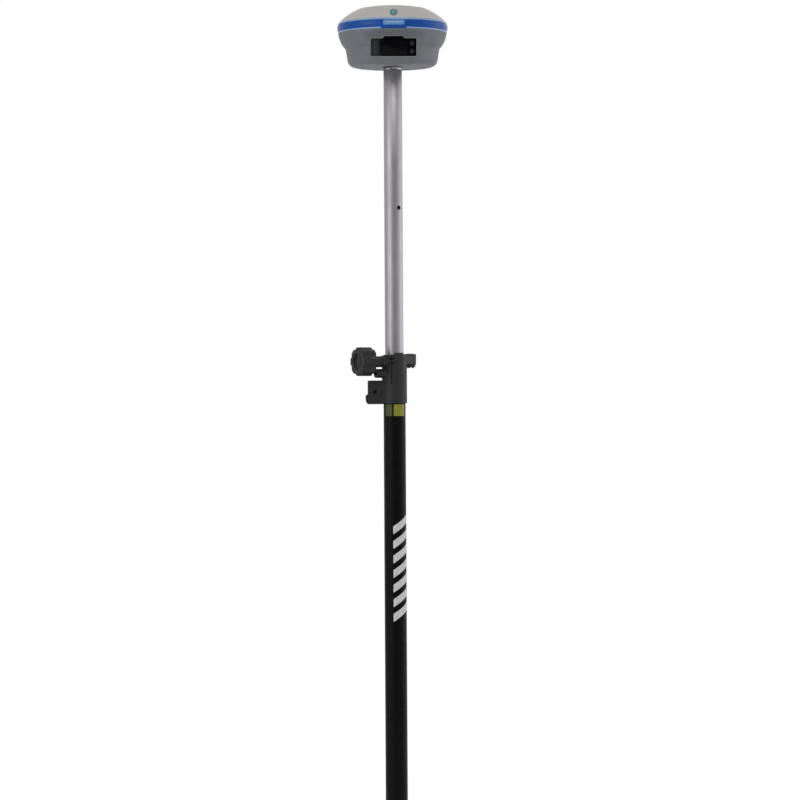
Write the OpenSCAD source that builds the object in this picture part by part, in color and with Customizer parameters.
// Satellite positioning receiver on a telescopic survey pole.
// Millimetres, +Z up, origin at the pole's point. The receiver's display faces -Y.

/* [Pole] */
// Height of the receiver's base above the point
working_height = 1745; // [1400:5:2100]
// Height of the clamp collar's top above the point
collar_top = 1349; // [1300:1:1370]
// Outside diameter of the lower tube
lower_tube_d = 30.4; // [30:0.1:31]
// Wall of the lower tube
lower_tube_wall = 1.6; // [1.4:0.1:1.7]
// Outside diameter of the upper tube
upper_tube_d = 25.4; // [25:0.1:25.4]
// Wall of the upper tube
upper_tube_wall = 1.5; // [1:0.1:2]
// Length of the upper tube
upper_tube_len = 1050; // [900:10:1100]
// Diameter of the lock holes in the upper tube
lock_hole_d = 6; // [5.4:0.2:7]
// Height of the foot, from the point to the lower tube's end
foot_h = 80; // [70:1:100]

/* [Clamp collar] */
// Outside diameter of the collar
collar_d = 34.6; // [33:0.2:35]
// Length of the collar
collar_len = 66.2; // [63:0.2:70]
// Direction of the clamp knob, counter-clockwise from +X
knob_dir = 210; // [200:1:220]
// Direction of the height latch
latch_dir = 185; // [175:1:190]
// Direction of the bubble level
vial_dir = 38; // [32:1:55]
// Direction of the collar's slit
slit_dir = 256; // [250:1:262]
// Direction of the lock holes in the upper tube
hole_dir = 305; // [290:1:320]

/* [Clamp knob] */
// Diameter of the knob over its lobes
knob_d = 39.5; // [36:0.5:40]
// Thickness of the lobed head
knob_h = 21; // [16:0.2:22]
// Number of lobes
knob_lobes = 8; // [6:1:10]
// Diameter of the knob's hub and of its boss on the collar
hub_d = 15.5; // [14:0.5:15.5]

/* [Receiver] */
// Largest diameter of the receiver, over the coloured ring
head_d = 152; // [150:1:156]
// Height of the receiver
head_h = 84; // [82:1:86]
// Height of the coloured ring's lower edge above the base
ring_z = 48; // [47:0.5:49]
// Height of the coloured ring
ring_h = 12; // [11:0.5:12]
// Wall of the housing and the dome
shell = 2.8; // [2.4:0.1:3]
// Backward lean of the display's face, which looks a little down
face_tilt = 12; // [8:1:14]
// Width of the display window
window_w = 62; // [58:1:64]
// Height of the display window
window_h = 24; // [22:1:24]
// Circle of the case screws and of the dome's posts, as a radius
post_circle_r = 41.5; // [41:0.5:43]

/* [Hidden] */
$fn = 96;

eps = 1;              // how far a cut runs past the face that it opens
gap = 0.05;           // clearance of a running or glued fit

lower_r = lower_tube_d / 2;
lower_bore_r = lower_r - lower_tube_wall;
lower_neck_r = lower_r - 0.2;          // turned down where the collar covers the tube
lower_tube_top = collar_top - 22;
collar_base = collar_top - collar_len;
upper_r = upper_tube_d / 2;
upper_bore_r = upper_r - upper_tube_wall;
collar_r = collar_d / 2;

washer_t = 1;
flange_t = 3;
stud_r = 7.9;                          // 5/8 inch by 11 thread, drawn plain
stud_len = 14;
upper_tube_top = working_height - washer_t - flange_t;
upper_tube_base = upper_tube_top - upper_tube_len;

knob_z = collar_top - 8.9;
hub_face = 24;                         // radial place of the hub's inner face
head_face = 38.4;                      // radial place where the lobed head begins
boss_face = 22.5;
screw_r = 3.95;                        // M8, drawn plain
screw_bore_r = 4.2;
collar_screw_z = collar_top - 25;
slit_w = 0.9;                          // the saw cut that lets the collar close
lip_arc = [268, 318];                  // where a raised lip runs round the collar's top

marker_arcs = [[216, 256], [264, 328]];  // the two yellow bands, counter-clockwise from +X
graphic_dir = 302;                     // heading of the white bars' middle
graphic_w = 24;

latch_w = 14;                          // over both cheeks
latch_out = 36.5;                      // radial reach of the cheeks
latch_h = 31.6;                        // above the collar's base
latch_drop = 1;                        // below the collar's base
slot_w = 8.2;
lever_w = 7.6;
pivot_x = 27;
pivot_z = collar_top - 50.5;
pivot_r = 1.9;
pivot_recess_r = 3.9;
pivot_recess = 2.2;                    // how deep the pin's ends lie in the cheeks
plunger_z = pivot_z + 8;
plunger_r = 2.5;
spring_z = pivot_z - 7.5;

// Where the lock holes sit, so that the latch holds working heights of 1.5, 1.8 and 2.0 m.
lock_zs = [for (h = [1500, 1800, 2000]) plunger_z + working_height - h];

vial_reach = 27.4;                     // from the pole's axis to the level's centre
vial_z = collar_top + 0.5;
vial_cup_r = 9;
vial_screw_circle_r = 4.6;
vial_screw_angles = [60, 180, 300];

ring_r = head_d / 2;
rim_r = ring_r - 1;
skirt_r = 70;
ring_top = ring_z + ring_h;
floor_t = 3;
board_z = 28;
board_t = 1.6;
plate_z = 55;
plate_t = 1.5;
face_y = 55.5;                         // the display face's distance from the axis
face_z = 22;
rear_y = 55;
port_z = 22;
flap_w = 18.6;
flap_hinge_y = 4.9;                    // above the port's centre
flap_hinge_z = -0.3;                   // inside the rear face
insert_r = 13;
post_r = 4;
post_base = 6.1;
post_angles = [for (i = [0:5]) 60 * i];
standoff_angles = [30, 150, 210, 330];
standoff_r = 46;                       // radius of the stand-offs' circle
standoff_d = 6;
button_x = 25;
button_y = 5.5;
button_r = 3.5;
mark_r = 5.4;
mark_long = 1.55;                      // how much taller than wide the printed mark is
badge_w = 29;
badge_h = 6.4;
lip_drop = 2;                          // how far the ring's lip reaches below ring_z
cell_y = 22.5;
cell_d = 18.4;
cell_len = 66;

// ---------------------------------------------------------------- helpers

module ring(r_in, r_out, z0, z1) {
    translate([0, 0, z0]) difference() {
        cylinder(h = z1 - z0, r = r_out);
        translate([0, 0, -eps]) cylinder(h = z1 - z0 + 2 * eps, r = r_in);
    }
}

module rod(r, z0, z1) {
    translate([0, 0, z0]) cylinder(h = z1 - z0, r = r);
}

// Children stand on the pole's axis at height z, with their +Z pointing out along dir.
module outward(dir, z) {
    translate([0, 0, z]) rotate([0, 90, dir]) children();
}

// Children are drawn in the display's plane: X to the right, Y up, Z out of the face.
module on_face() {
    translate([0, -face_y, working_height + face_z]) rotate([90 + face_tilt, 0, 0]) children();
}

// Children are drawn with +Z pointing out of the rear face, and Y up.
module on_rear(x, z = port_z) {
    translate([x, rear_y, working_height + z]) rotate([-90, 180, 0]) children();
}

module on_head() {
    translate([0, 0, working_height]) children();
}

module at_vial() {
    rotate([0, 0, vial_dir]) translate([vial_reach, 0, vial_z]) children();
}

module at_angles(angles, r) {
    for (a = angles) rotate([0, 0, a]) translate([r, 0, 0]) children();
}

function rounded_rect(w, h, r, n = 5) = [
    for (c = [[1, 1, 0], [-1, 1, 90], [-1, -1, 180], [1, -1, 270]], i = [0:n])
        [c[0] * (w / 2 - r) + r * cos(c[2] + 90 * i / n),
         c[1] * (h / 2 - r) + r * sin(c[2] + 90 * i / n)]
];

module rounded_plate(w, h, r, z0, z1) {
    translate([0, 0, z0]) linear_extrude(z1 - z0) polygon(rounded_rect(w, h, r));
}

function bezier(a, c, b, n = 10) = [
    for (i = [0:n]) let (t = i / n) (1 - t) * (1 - t) * a + 2 * t * (1 - t) * c + t * t * b
];

// A wedge of the pole's circle from angle a0 to a1, for cutting arcs out of rings.
module wedge(a0, a1, r, z0, z1) {
    steps = 8;
    translate([0, 0, z0]) linear_extrude(z1 - z0) polygon(concat(
        [[0, 0]],
        [for (i = [0:steps]) let (a = a0 + (a1 - a0) * i / steps) [r * cos(a), r * sin(a)]]
    ));
}

// A flat-sided web that joins a circle of r1 to one of r2, d away along +X.
module web(r1, r2, d, z0, z1) {
    a = acos((r1 - r2) / d);
    inset = 0.2;
    p1 = (r1 - inset) * [cos(a), sin(a)];
    p2 = [d, 0] + (r2 - inset) * [cos(a), sin(a)];
    translate([0, 0, z0]) linear_extrude(z1 - z0)
        polygon([p1, p2, [p2[0], -p2[1]], [p1[0], -p1[1]]]);
}

// ---------------------------------------------------------------- receiver shells

// The dome's outline from the apex to the rim, drawn in by inset.
function dome_outline(inset) = let (
    crown_r = 46,
    crown_curve = 250,
    crown_z = head_h - inset,
    edge = [crown_r - inset / 2, crown_z - crown_r * crown_r / (2 * crown_curve)]
) concat(
    [for (r = [0:5.75:crown_r - inset / 2 - 1]) [r, crown_z - r * r / (2 * crown_curve)]],
    bezier(edge, [63.8 - 0.7 * inset, 72.1 - inset], [rim_r - 0.5 - inset, ring_top])
);

module dome_cover() {
    color("gainsboro") on_head() {
        rotate_extrude() polygon(concat(
            dome_outline(0),
            [[skirt_r, ring_top], [skirt_r, ring_top - 5], [skirt_r - shell, ring_top - 5]],
            [for (i = [10:-1:0]) bezier(
                dome_outline(shell)[8], [61.8, 69.3], [skirt_r - shell, ring_top - 0.5])[i]],
            [for (i = [7:-1:0]) dome_outline(shell)[i]]
        ));
        difference() {
            at_angles(post_angles, post_circle_r) rod(post_r, post_base, head_h - 6);
            at_angles(post_angles, post_circle_r) rod(1.3, post_base - eps, post_base + 14);
        }
    }
}

// A thin oval film that follows the dome's front shoulder.
module dome_mark() {
    at = 14;                           // the point of the dome's outline under the oval's centre
    first = 9;                         // the film's profile runs from this point to the rim
    outline = dome_outline(-0.02);
    skin = dome_outline(-0.3);
    last = len(outline) - 1;
    run = outline[at + 1] - outline[at - 1];
    color("teal") on_head() intersection() {
        rotate_extrude() polygon(concat([for (i = [first:last]) skin[i]],
                                        [for (i = [last:-1:first]) outline[i]]));
        translate([0, -outline[at][0], outline[at][1]]) rotate([atan2(-run[1], run[0]), 0, 0])
            linear_extrude(8, center = true)
            polygon([for (a = [0:12:348]) mark_r * [cos(a), mark_long * sin(a)]]);
    }
}

module ring_section(inset) {
    rotate_extrude() polygon(concat(
        [[skirt_r + gap, ring_z + gap]],
        bezier([rim_r - inset, ring_z + gap], [ring_r + 1.3 - inset, ring_z + ring_h / 2],
               [rim_r - 0.6 - inset, ring_top - gap]),
        [[skirt_r + gap, ring_top - gap]]
    ));
}

// The ring's lip, which reaches down over the housing's rim.
module ring_lip(grow) {
    ring(skirt_r + 2 - grow, rim_r - 0.2 + grow, ring_z - lip_drop - grow, ring_z + 1);
}

module badge_block(grow, depth) {
    intersection() {
        ring(ring_r - depth, ring_r - 0.05, ring_z, ring_top);
        translate([0, -ring_r, ring_z + ring_h / 2]) rotate([90, 0, 0])
            linear_extrude(40, center = true)
            polygon(rounded_rect(badge_w + grow, badge_h + grow, 2));
    }
}

module accent_ring() {
    color("royalblue") on_head() difference() {
        union() {
            ring_section(0);
            ring_lip(0);
        }
        badge_block(0.1, 1);
        rod(skirt_r + gap, ring_z - 5, ring_top + 5);
    }
}

module ring_badge() {
    color("lightskyblue") on_head() badge_block(0, 0.95);
}

module seal_ring() {
    color("dimgray") on_head() ring(skirt_r - shell, skirt_r, ring_top - 6.5, ring_top - 5 - gap);
}

// What the front and rear faces take off the round housing, drawn in by inset: a chamfer at the
// floor, the face itself, and a sloping ledge under the coloured ring.
module face_cut(y, tilt, chamfer, top_z, ledge_z, inset) {
    reach = 90;
    slope = tan(tilt);
    base_z = 7;
    face = function (z) -(y + slope * (z - face_z)) + inset;
    rotate([90, 0, 90]) linear_extrude(2 * reach, center = true) polygon([
        [face(base_z) + chamfer, -eps], [face(base_z) + chamfer, 0], [face(base_z), base_z],
        [face(top_z), top_z + inset], [-reach, ledge_z + inset], [-reach, -eps]
    ]);
}

module front_cut(inset = 0) {
    face_cut(face_y, face_tilt, 5, 40, 52, inset);
}

module rear_cut(inset = 0) {
    rotate([0, 0, 180]) face_cut(rear_y, 0, 4, 38, 48, inset);
}

module housing_shape() {
    difference() {
        rotate_extrude() polygon(concat(
            [[0, 0]],
            bezier([50, 0], [60.5, 0.4], [62, 9], 6),
            bezier([64.6, 25], [73, 33], [rim_r - 0.4, ring_z - 1], 10),
            [[rim_r - 0.4, ring_z], [skirt_r, ring_z], [skirt_r, ring_top - 6.6], [0, ring_top - 6.6]]
        ));
        front_cut();
        rear_cut();
    }
}

module housing_cavity() {
    difference() {
        rotate_extrude() polygon(concat(
            [[0, floor_t]],
            bezier([50, floor_t], [58, floor_t], [59, 11], 4),
            bezier([61.6, 26], [66, 31], [skirt_r - shell, ring_z - 4], 8),
            [[skirt_r - shell, ring_top], [0, ring_top]]
        ));
        front_cut(3);
        rear_cut(3);
    }
}

module window_outline(grow) {
    tab_half = 14.5;
    tab_up = 3;
    polygon(rounded_rect(window_w + grow, window_h + grow, 2));
    polygon([[-tab_half - grow / 2, 0], [tab_half + grow / 2, 0],
             [tab_half - 2 + grow / 2, window_h / 2 + tab_up + grow / 2],
             [-tab_half + 2 - grow / 2, window_h / 2 + tab_up + grow / 2]]);
}

module lower_housing() {
    color("slategray") difference() {
        on_head() difference() {
            union() {
                difference() {
                    housing_shape();
                    housing_cavity();
                }
                at_angles(post_angles, post_circle_r) rod(post_r + 1, floor_t - 0.5, post_base - gap);
            }
            rod(insert_r + gap, -eps, floor_t + eps);
            at_angles(post_angles, post_circle_r) {
                rod(1.6, -eps, post_base + eps);
                rod(3.2, -eps, 1.6);
            }
            ring_lip(0.1);
        }
        on_face() {
            translate([0, 0, -1.6]) linear_extrude(3) window_outline(4.2);
            rounded_plate(38, 20, 1, -8, 0);
            for (y = [-button_y, button_y]) translate([button_x, y, 0]) rod(2.5, -8, 0);
            for (y = [-6, 0, 6]) translate([-button_x, y, 0]) rod(1.2, -8, 0);
        }
        on_rear(-20) rod(6.1, -8, 3);
        on_rear(20) rod(5.6, -8, 3);
        on_rear(0) {
            rounded_plate(9.6, 4.2, 1.5, -8, 3);
            rounded_plate(flap_w + 0.4, 12, 2.5, -1.5, 3);
            translate([-flap_w / 2 - 0.2, 0, -1.5]) cube([flap_w + 0.4, 6, 4.5]);
        }
    }
}

module mount_insert() {
    color("silver") on_head() difference() {
        union() {
            rod(insert_r, 0, 20);
            rod(insert_r + 3.5, floor_t + gap, floor_t + 4);
        }
        rod(stud_r + 0.1, -eps, 16);
        for (a = [0:90:270]) rotate([0, 0, a]) translate([insert_r + 3.5, 0, 0])
            rod(1.2, floor_t, floor_t + 5);
    }
}

module case_screws() {
    color("silver") on_head() at_angles(post_angles, post_circle_r) difference() {
        union() {
            rod(1.2, 1.6, post_base + 12);
            rod(2.9, 0.2, 1.6 - gap);
        }
        rod(1.3, -eps, 1);
    }
}

// ---------------------------------------------------------------- display

module front_bezel() {
    color("gray") on_face() translate([0, 0, -1.55]) linear_extrude(1.95) difference() {
        window_outline(4);
        window_outline(0.3);
    }
}

module display_glass() {
    color("black") on_face() difference() {
        translate([0, 0, -1.5]) linear_extrude(1.7) window_outline(0);
        for (y = [-button_y, button_y]) translate([button_x, y, 0]) rod(button_r + 0.15, -3, 3);
        for (y = [-6, 0, 6]) translate([-button_x, y, 0]) rod(1.2, -3, 3);
    }
}

module oled_module() {
    color("midnightblue") on_face() rounded_plate(37.6, 19.6, 1, -5.5, -1.6);
}

module status_leds() {
    color("mediumseagreen") on_face()
        for (y = [-6, 0, 6]) translate([-button_x, y, 0]) rod(1.1, -5, 0.35);
}

module face_button(y) {
    on_face() translate([button_x, y, 0]) {
        rod(button_r, -0.6, 0.9);
        rod(2.2, -4.2, -0.5);
    }
}

module power_button() {
    color("darkslategray") face_button(-button_y);
}

module function_button() {
    color("darkslategray") face_button(button_y);
}

module key_board() {
    color("darkgreen") on_face() {
        rounded_plate(60, 20, 1, -7, -6);
        for (y = [-button_y, button_y]) translate([button_x, y, 0]) rod(2, -6.5, -5.2);
    }
}

// ---------------------------------------------------------------- inside the receiver

module main_board() {
    color("green") on_head() difference() {
        rod(56, board_z, board_z + board_t);
        at_angles(post_angles, post_circle_r) rod(post_r + 0.5, board_z - eps, board_z + 3);
        at_angles(standoff_angles, standoff_r) rod(1.6, board_z - eps, board_z + 3);
        for (s = [-1, 1]) translate([-60, s > 0 ? 44 : -104, board_z - eps]) cube([120, 60, 4]);
    }
}

module shield_cans() {
    color("lightgray") on_head() translate([0, 0, board_z + board_t + gap]) {
        translate([-30, -14, 0]) cube([26, 30, 3]);
        translate([4, -22, 0]) cube([30, 20, 4]);
        translate([4, 4, 0]) cube([24, 18, 3]);
    }
}

module board_standoffs() {
    color("goldenrod") on_head() at_angles(standoff_angles, standoff_r) {
        rod(standoff_d / 2, floor_t + gap, board_z - gap);
        rod(standoff_d / 4, board_z - 1, board_z + board_t + gap);
    }
}

module antenna_standoffs() {
    color("goldenrod") on_head() at_angles(standoff_angles, standoff_r)
        rod(standoff_d / 2, board_z + board_t + 2 * gap, plate_z - gap);
}

module antenna_plate() {
    color("silver") on_head() difference() {
        rod(64, plate_z, plate_z + plate_t);
        at_angles(post_angles, post_circle_r) rod(post_r + 0.5, plate_z - eps, plate_z + 4);
    }
}

module antenna_patch_lower() {
    color("antiquewhite") on_head() rounded_plate(54, 54, 4, plate_z + plate_t + gap, plate_z + 8);
}

module antenna_patch_upper() {
    color("khaki") on_head() rounded_plate(38, 38, 3, plate_z + 8 + gap, plate_z + 13);
}

module antenna_lead() {
    color("sienna") on_head() translate([-34, 9, 0]) {
        rod(0.9, board_z + board_t + 2, plate_z - 2);
        rod(2, board_z + board_t + gap, board_z + board_t + 2.5);
        rod(2, plate_z - 2.5, plate_z - gap);
    }
}

module battery_tray() {
    color("black") on_head() difference() {
        for (s = [-1, 1]) translate([0, s * cell_y, 0])
            rounded_plate(cell_len + 2.6, cell_d + 0.2, 1, floor_t + gap, 9);
        for (s = [-1, 1]) translate([-cell_len / 2 - gap, s * cell_y, 5 + cell_d / 2])
            rotate([0, 90, 0]) cylinder(h = cell_len + 2 * gap, r = cell_d / 2 + gap);
        rod(insert_r + 4.2, 0, 20);
        at_angles(post_angles, post_circle_r) rod(post_r + 1.2, 0, 20);
    }
}

module battery_cells() {
    color("dodgerblue") on_head() for (s = [-1, 1])
        translate([-cell_len / 2, s * cell_y, 5 + cell_d / 2])
            rotate([0, 90, 0]) cylinder(h = cell_len, r = cell_d / 2);
}

// ---------------------------------------------------------------- rear ports

module data_port() {
    color("silver") on_rear(-20) difference() {
        union() {
            rod(6, -7, 4);
            rod(7.6, 0.02, 1.4);
            rod(8, -4.6, -3.05);
        }
        rod(4.3, -3, 4 + eps);
    }
    color("gold") on_rear(-20) at_angles([for (i = [0:5]) 60 * i], 2.5) rod(0.5, -3.5, 1.5);
}

module data_port_cap() {
    color("dimgray") on_rear(-20) difference() {
        rod(7.6, 1.5, 6.5);
        rod(6.1, 0, 4.4);
    }
}

module radio_port() {
    color("goldenrod") on_rear(20) difference() {
        union() {
            rod(5.5, -7, 11);
            rotate([0, 0, 30]) translate([0, 0, 0.02]) cylinder(h = 2.2, r = 8, $fn = 6);
            rod(8, -4.6, -3.05);
        }
        rod(3.6, 3, 11 + eps);
    }
    color("ivory") on_rear(20) difference() {
        rod(2, 2.5, 9.5);
        rod(0.7, 5, 9.5 + eps);
    }
}

module usb_socket() {
    color("silver") on_rear(0) difference() {
        rounded_plate(9, 3.4, 1.6, -9, -1.6);
        rounded_plate(8.2, 2.6, 1.2, -7, 0);
    }
    color("black") on_rear(0) translate([-3.3, -0.35, -7.2]) cube([6.6, 0.7, 4.4]);
}

module usb_flap() {
    color("dimgray") on_rear(0) {
        difference() {
            union() {
                rounded_plate(flap_w, 11.6, 2.4, -1.1, 0.5);
                translate([-flap_w / 2, 0, -1.1]) cube([flap_w, flap_hinge_y, 1.6]);
            }
            translate([-flap_w, flap_hinge_y, -3]) cube([2 * flap_w, 5, 6]);
        }
        translate([0, flap_hinge_y, flap_hinge_z]) rotate([0, 90, 0])
            cylinder(h = flap_w, r = 0.85, center = true);
        translate([0, -4.2, 0]) rounded_plate(7, 1.6, 0.7, 0, 1.1);
    }
}

// ---------------------------------------------------------------- pole

module mount_washer() {
    color("black") on_head() ring(stud_r + 0.2, upper_r, -washer_t + 0.02, -0.02);
}

module stud_adapter() {
    z = working_height - washer_t;
    color("silver") difference() {
        union() {
            rod(stud_r, z - 2, z + stud_len);
            rod(upper_r, z - flange_t + 0.02, z);
            rod(upper_bore_r - gap, z - 34, z - 2);
        }
        rod(3, z - 36, z - 8);
    }
}

module upper_tube() {
    color("silver") difference() {
        ring(upper_bore_r, upper_r, upper_tube_base, upper_tube_top);
        for (z = lock_zs) {
            outward(hole_dir, z) rod(lock_hole_d / 2, upper_bore_r - 4, upper_r + 2);
            ring(upper_r - 0.1, upper_r + 1, z + 12.6, z + 13.4);
        }
    }
}

module guide_bush() {
    color("ivory") difference() {
        union() {
            rod(lower_bore_r - 0.08, upper_tube_base - 12, upper_tube_base - gap);
            rod(upper_bore_r - gap, upper_tube_base - 2, upper_tube_base + 15);
        }
        rod(5, upper_tube_base - 20, upper_tube_base + 20);
    }
}

module lower_tube() {
    color("#1c1c1e") difference() {
        union() {
            rod(lower_r, foot_h, collar_base);
            rod(lower_neck_r, collar_base - 1, lower_tube_top);
        }
        rod(lower_bore_r, foot_h - eps, lower_tube_top + eps);
        outward(latch_dir, plunger_z) rod(plunger_r + 0.2, 10, 20);
        outward(knob_dir, collar_screw_z) rod(2.6, 10, 20);
    }
}

module foot_ferrule() {
    color("#2a2a2c") difference() {
        union() {
            rod(lower_bore_r - gap, foot_h - 1, foot_h + 30);
            rotate_extrude() polygon([
                [0, 34], [8, 34], [8.5, 35], [9, 40], [11, 50], [14.2, foot_h - 12],
                [lower_r - 0.3, foot_h - 6], [lower_r - 0.3, foot_h - gap], [0, foot_h - gap]
            ]);
        }
        rod(5, 30, 62);
        rod(8, 70, foot_h + 40);
    }
}

module point_tip() {
    color("gray") difference() {
        union() {
            rod(4.9, 33, 58);
            rotate_extrude() polygon([
                [0, 0], [0.6, 0.2], [5.2, 16], [6.5, 18], [6.5, 34 - gap], [0, 34 - gap]
            ]);
        }
        for (s = [-1, 1]) translate([s * 10.5 - 5, -10, 22]) cube([10, 20, 8]);
    }
}

module marker_band() {
    color("gold") for (arc = marker_arcs)
        intersection() {
            ring(lower_r + 0.01, lower_r + 0.11, collar_base - 17.3, collar_base - 1.3);
            wedge(arc[0], arc[1], 25, collar_base - 19, collar_base);
        }
}

// Plain slanted bars, one above another.
module pole_graphic() {
    bars = 7;
    pitch = 20;
    bar_h = 9;
    lean = 35;
    low = collar_base - 301;
    color("white") for (i = [0:bars - 1]) intersection() {
        ring(lower_r + 0.01, lower_r + 0.11, low, low + bars * pitch + 20);
        rotate([0, 0, graphic_dir]) translate([15, 0, low + 15 + i * pitch]) rotate([lean, 0, 0])
            cube([16, graphic_w, bar_h], center = true);
    }
}

// ---------------------------------------------------------------- clamp collar

module collar_solid() {
    rod(collar_r, collar_base, collar_top);
    outward(knob_dir, knob_z) rod(hub_d / 2, 10, boss_face);
    outward(knob_dir, collar_screw_z) rod(6.3, 10, 20.5);
    rotate([0, 0, latch_dir]) translate([10, -latch_w / 2, collar_base - latch_drop])
        cube([latch_out - 10, latch_w, latch_drop + latch_h]);
    intersection() {
        ring(14.7, collar_r - 0.3, collar_top - 1, collar_top + 3.2);
        wedge(lip_arc[0], lip_arc[1], 30, collar_top - 1, collar_top + 4);
    }
    rotate([0, 0, vial_dir])
        web(collar_r, vial_cup_r, vial_reach, collar_top - 12, collar_top - 0.5);
    at_vial() {
        rod(vial_cup_r, -12.5, 0.8);
        translate([0, 0, -17]) cylinder(h = 5, r1 = 7.2, r2 = vial_cup_r);
    }
}

module latch_slot() {
    rotate([0, 0, latch_dir]) {
        translate([19, -slot_w / 2, collar_base - latch_drop - eps])
            cube([30, slot_w, latch_drop + latch_h - 3 + eps]);
        for (s = [-1, 1]) translate([pivot_x, 0, pivot_z]) rotate([-90 * s, 0, 0]) {
            rod(pivot_r + gap, 0, 10);
            rod(pivot_recess_r, latch_w / 2 - pivot_recess, 10);
        }
    }
    outward(latch_dir, plunger_z) rod(plunger_r + 0.1, 10, 20);
}

module clamp_collar() {
    color("#2b292c") difference() {
        collar_solid();
        rod(lower_neck_r + gap, collar_base - eps, lower_tube_top + 0.1);
        rod(lower_r + 1, collar_base - latch_drop - eps, collar_base);
        rod(14.7, lower_tube_top, collar_top + eps);
        outward(knob_dir, knob_z) rod(screw_bore_r, 8, boss_face + eps);
        outward(knob_dir, collar_screw_z) rod(2.6, 10, 22);
        latch_slot();
        rotate([0, 0, slit_dir]) {
            translate([10, -slit_w / 2, collar_top - 40]) cube([10, slit_w, 42]);
            translate([collar_r - 0.7, -4.8, collar_top - 11.8]) cube([5, 9.6, 7.4]);
            for (z = [-11.8, -6]) translate([collar_r - 1.4, -4.8, collar_top + z]) cube([5, 9.6, 1.6]);
        }
        at_vial() {
            rod(7.9, -9, 3);
            at_angles(vial_screw_angles, vial_screw_circle_r) rod(1.3, -20, -8);
        }
    }
}

module collar_bush() {
    color("ivory") difference() {
        ring(upper_r + 0.08, 14.65, lower_tube_top + 0.15, collar_top + 0.6);
        outward(knob_dir, knob_z) rod(screw_bore_r + 0.1, 8, 16);
        rotate([0, 0, slit_dir]) translate([8, -slit_w / 2, collar_top - 30]) cube([10, slit_w, 40]);
    }
}

module collar_screw() {
    color("#333333") outward(knob_dir, collar_screw_z) difference() {
        union() {
            rod(2.5, 13.9, 21);
            rod(6.2, 20.6, 30);
        }
        translate([0, 0, 26.5]) cylinder(h = 5, r = 2.9, $fn = 6);
    }
}

module clamp_screw() {
    color("silver") outward(knob_dir, knob_z) rod(screw_r, 15.35, head_face + 9);
}

module clamp_knob() {
    scallop_r = 4.2;
    scallop_at = knob_d / 2 + 2.4;
    color("#232324") outward(knob_dir, knob_z) difference() {
        union() {
            rod(hub_d / 2, hub_face + 0.1, head_face + 1);
            rod(knob_d / 2, head_face, head_face + knob_h);
        }
        for (i = [0:knob_lobes - 1]) rotate([0, 0, 360 * (i + 0.5) / knob_lobes])
            translate([scallop_at, 0, 0]) rod(scallop_r, head_face - eps, head_face + knob_h + eps);
        rod(screw_r + gap, hub_face - eps, head_face + 9.1);
        rod(11, head_face + knob_h - 3.4, head_face + knob_h + eps);
    }
}

module knob_cap() {
    color("#161617") outward(knob_dir, knob_z)
        rod(10.9, head_face + knob_h - 3.3, head_face + knob_h - 2);
}

module thrust_washer() {
    color("#333333") outward(knob_dir, knob_z) ring(screw_r + 0.15, 7.2, boss_face + 0.1, hub_face);
}

module pressure_pad() {
    color("ivory") difference() {
        outward(knob_dir, knob_z) rod(4, 10, 15.3);
        rod(upper_r + 0.06, knob_z - 10, knob_z + 10);
    }
}

// ---------------------------------------------------------------- height latch

// The lever seen from its side: a hub on the pivot, an arm up to the plunger, a thumb pad outside
// that turns in under the spring.
function lever_outline() = concat(
    [for (a = [180:-15:90]) [pivot_x + 4.4 * cos(a), 4.4 * sin(a)]],
    [[26.1, 5], [26.1, 10], [27, 11], [29.6, 11], [30.5, 10], [30.5, 3], [32, -1.6]],
    bezier([35, -2.6], [40.6, -3], [39.8, -8], 6),
    bezier([39.4, -12.5], [38.8, -16.2], [35, -16.2], 6),
    [[26, -16.2], [25, -15.4], [25, -12.2], [29, -11.6], [29.6, -7]],
    [for (a = [-70:-15:-175]) [pivot_x + 4.4 * cos(a), 4.4 * sin(a)]]
);

module latch_lever() {
    color("#1f1f20") rotate([0, 0, latch_dir]) translate([0, 0, pivot_z]) difference() {
        rotate([90, 0, 0]) linear_extrude(lever_w, center = true) polygon(lever_outline());
        translate([pivot_x, 0, 0]) rotate([90, 0, 0])
            cylinder(h = 20, r = pivot_r + gap, center = true);
        translate([25, -1.6, 5.5]) cube([7, 3.2, 7]);
    }
}

module latch_pivot() {
    color("#333333") rotate([0, 0, latch_dir]) translate([pivot_x, 0, pivot_z]) rotate([90, 0, 0])
        cylinder(h = latch_w - 2 * pivot_recess - 0.2, r = pivot_r, center = true);
}

module latch_plunger() {
    color("silver") outward(latch_dir, plunger_z) difference() {
        union() {
            rod(plunger_r, 11, 25);
            rod(1.2, 24, 32);
            rod(2.4, 31.6, 33);
        }
        rotate([0, -90, 0]) translate([0, 0, -10]) cylinder(h = 20, r = upper_r + 0.1);
    }
}

function coil_point(t, turns, r, length) = [r * cos(360 * turns * t), r * sin(360 * turns * t), length * t];

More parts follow.
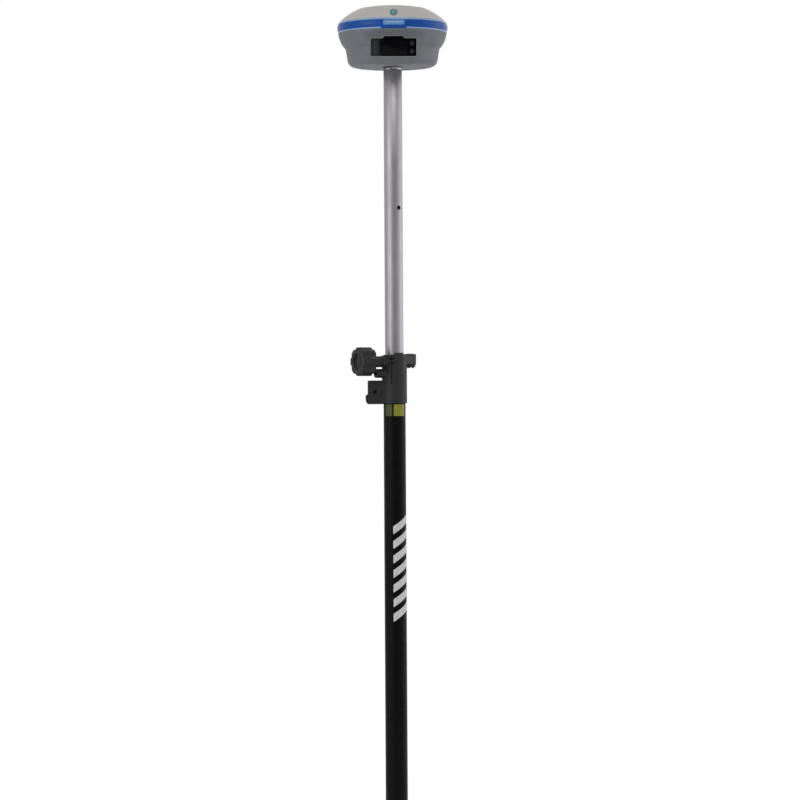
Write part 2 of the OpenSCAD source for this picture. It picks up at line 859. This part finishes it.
module latch_spring() {
    turns = 5;
    rings = 60;
    sides = 6;
    wire = 0.45;
    coil_r = 2.4;
    len_x = 8.6;
    points = [for (i = [0:rings], s = [0:sides - 1]) let (
        a = 360 * turns * i / rings,
        c = coil_point(i / rings, turns, coil_r, len_x),
        b = 360 * s / sides
    ) c + wire * [cos(b) * cos(a), cos(b) * sin(a), sin(b)]];
    sides_faces = [for (i = [0:rings - 1], s = [0:sides - 1]) let (n = (s + 1) % sides) each [
        [i * sides + s, (i + 1) * sides + s, (i + 1) * sides + n],
        [i * sides + s, (i + 1) * sides + n, i * sides + n]
    ]];
    ends = [[for (s = [0:sides - 1]) s], [for (s = [sides - 1:-1:0]) rings * sides + s]];
    color("silver") outward(latch_dir, spring_z) translate([0, 0, 19.5])
        polyhedron(points, concat(sides_faces, ends));
}

// ---------------------------------------------------------------- bubble level

module vial_body() {
    color("silver") at_vial() difference() {
        rod(7.8, -8.95, 1.4);
        rod(6.5, -6, 2.4);
    }
}

module vial_lens() {
    color("greenyellow") at_vial() intersection() {
        rod(6.45, -5.95, 4);
        translate([0, 0, -28]) sphere(r = 30.2);
    }
}

module vial_screws() {
    color("silver") at_vial() at_angles(vial_screw_angles, vial_screw_circle_r) {
        rod(1.2, -17.5, -9 - gap);
        rod(2, -18.4, -17.05);
    }
}

dome_cover();
dome_mark();
accent_ring();
ring_badge();
seal_ring();
lower_housing();
mount_insert();
case_screws();
front_bezel();
display_glass();
oled_module();
status_leds();
power_button();
function_button();
key_board();
main_board();
shield_cans();
board_standoffs();
antenna_plate();
antenna_standoffs();
antenna_patch_lower();
antenna_patch_upper();
antenna_lead();
battery_tray();
battery_cells();
data_port();
data_port_cap();
radio_port();
usb_socket();
usb_flap();
mount_washer();
stud_adapter();
upper_tube();
guide_bush();
lower_tube();
foot_ferrule();
point_tip();
clamp_collar();
collar_bush();
collar_screw();
clamp_screw();
clamp_knob();
knob_cap();
thrust_washer();
pressure_pad();
latch_lever();
latch_pivot();
latch_plunger();
latch_spring();
vial_body();
vial_lens();
vial_screws();
marker_band();
pole_graphic();
